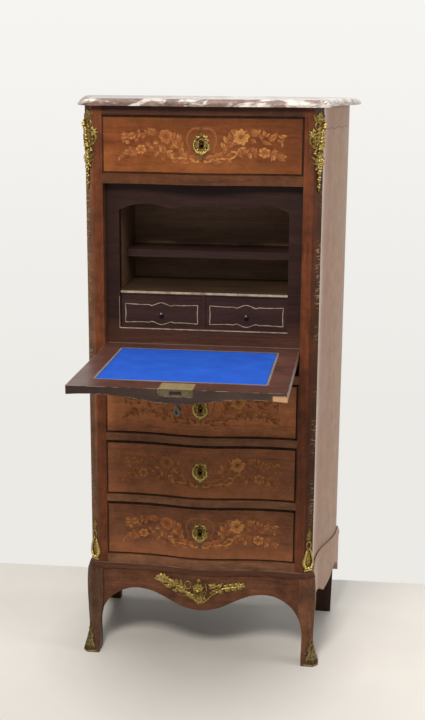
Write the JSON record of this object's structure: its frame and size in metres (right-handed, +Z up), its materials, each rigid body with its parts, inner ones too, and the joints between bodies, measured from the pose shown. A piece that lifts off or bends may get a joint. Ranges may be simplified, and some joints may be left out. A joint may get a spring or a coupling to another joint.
{
  "type": "escritoire",
  "caption": "Fall-front writing cabinet with a marble slab, sliding drawers, a hinged writing fall over a fitted interior, and a low stand on curved legs.",
  "frame": {"origin": "on the floor, under the middle of the cabinet's footprint with its fall open", "axes": "+X to the right seen from the front, +Y to the back, +Z up; the front faces -Y"},
  "size_m": [0.696, 0.7142, 1.35],
  "materials": {
    "marble": "polished, veined",
    "show_veneer": "waxed veneer",
    "faded_veneer": "faded veneer",
    "dark_wood": "dark satin",
    "plain_wood": "bare wood",
    "gilt_bronze": "cast and gilt",
    "brass": "worn",
    "steel": "dark",
    "writing_cloth": "smooth",
    "black_knobs": "ebonised"
  },
  "bodies": {
    "case": {"marble_top": "marble", "cross_rails": "show_veneer", "fall_rail": "show_veneer", "left_corner_post": "show_veneer", "right_corner_post": "show_veneer", "front_apron": "show_veneer", "left_apron": "show_veneer", "right_apron": "show_veneer", "base_board": "show_veneer", "front_left_leg": "show_veneer", "front_right_leg": "show_veneer", "left_side_panel": "faded_veneer", "right_side_panel": "faded_veneer", "interior_frame": "dark_wood", "drawer_divider": "dark_wood", "drawer_shelf": "dark_wood", "back_legs": "dark_wood", "carcass_top": "plain_wood", "back_panel": "plain_wood", "dust_boards": "plain_wood", "drawer_guides": "plain_wood", "interior_sides": "plain_wood", "interior_floor": "plain_wood", "interior_back": "plain_wood", "interior_shelf": "plain_wood", "base_back_rail": "plain_wood", "upper_corner_mounts": "gilt_bronze", "lower_corner_mounts": "gilt_bronze", "apron_mount": "gilt_bronze", "foot_sabots": "gilt_bronze", "pivot_sockets": "brass"},
    "fall": {"fall_board": "show_veneer", "writing_panel": "writing_cloth", "fall_lock": "brass", "fall_escutcheon": "gilt_bronze", "fall_pivots": "steel"},
    "fall_bolt": {"fall_bolt": "steel"},
    "fall_key": {"fall_key": "steel"},
    "drawer_1": {"drawer_1_front": "show_veneer", "drawer_1_box": "plain_wood", "drawer_1_lock": "steel", "drawer_1_escutcheon": "gilt_bronze"},
    "drawer_2": {"drawer_2_front": "show_veneer", "drawer_2_box": "plain_wood", "drawer_2_lock": "steel", "drawer_2_escutcheon": "gilt_bronze"},
    "drawer_3": {"drawer_3_front": "show_veneer", "drawer_3_box": "plain_wood", "drawer_3_lock": "steel", "drawer_3_escutcheon": "gilt_bronze"},
    "drawer_4": {"drawer_4_front": "show_veneer", "drawer_4_box": "plain_wood", "drawer_4_lock": "steel", "drawer_4_escutcheon": "gilt_bronze"},
    "small_drawer_left": {"small_drawer_left_front": "dark_wood", "small_drawer_left_box": "plain_wood", "small_drawer_left_knob": "black_knobs"},
    "small_drawer_right": {"small_drawer_right_front": "dark_wood", "small_drawer_right_box": "plain_wood", "small_drawer_right_knob": "black_knobs"}
  },
  "joints": [
    {"name": "fall_hinge", "type": "hinge", "parent": "case", "child": "fall", "pos_m": [0, 0.0325, 0.771], "axis": [1, 0, 0], "range_deg": [-90, 0]},
    {"name": "fall_key_turn", "type": "hinge", "parent": "fall", "child": "fall_key", "pos_m": [0, -0.325, 0.771], "axis": [0, 0, 1], "range_deg": [0, 180]},
    {"name": "fall_bolt_slide", "type": "slide", "parent": "fall", "child": "fall_bolt", "axis": [0, -1, 0], "range_m": [0, 0.008]},
    {"name": "drawer_1_slide", "type": "slide", "parent": "case", "child": "drawer_1", "axis": [0, -1, 0], "range_m": [0, 0.23]},
    {"name": "drawer_2_slide", "type": "slide", "parent": "case", "child": "drawer_2", "axis": [0, -1, 0], "range_m": [0, 0.23]},
    {"name": "drawer_3_slide", "type": "slide", "parent": "case", "child": "drawer_3", "axis": [0, -1, 0], "range_m": [0, 0.23]},
    {"name": "drawer_4_slide", "type": "slide", "parent": "case", "child": "drawer_4", "axis": [0, -1, 0], "range_m": [0, 0.23]},
    {"name": "small_drawer_left_slide", "type": "slide", "parent": "case", "child": "small_drawer_left", "axis": [0, -1, 0], "range_m": [0, 0.12]},
    {"name": "small_drawer_right_slide", "type": "slide", "parent": "case", "child": "small_drawer_right", "axis": [0, -1, 0], "range_m": [0, 0.12]}
  ],
  "couplings": [
    {"joint": "fall_key_turn", "follows": "fall_bolt_slide", "rad_per_m": 392.7}
  ]
}
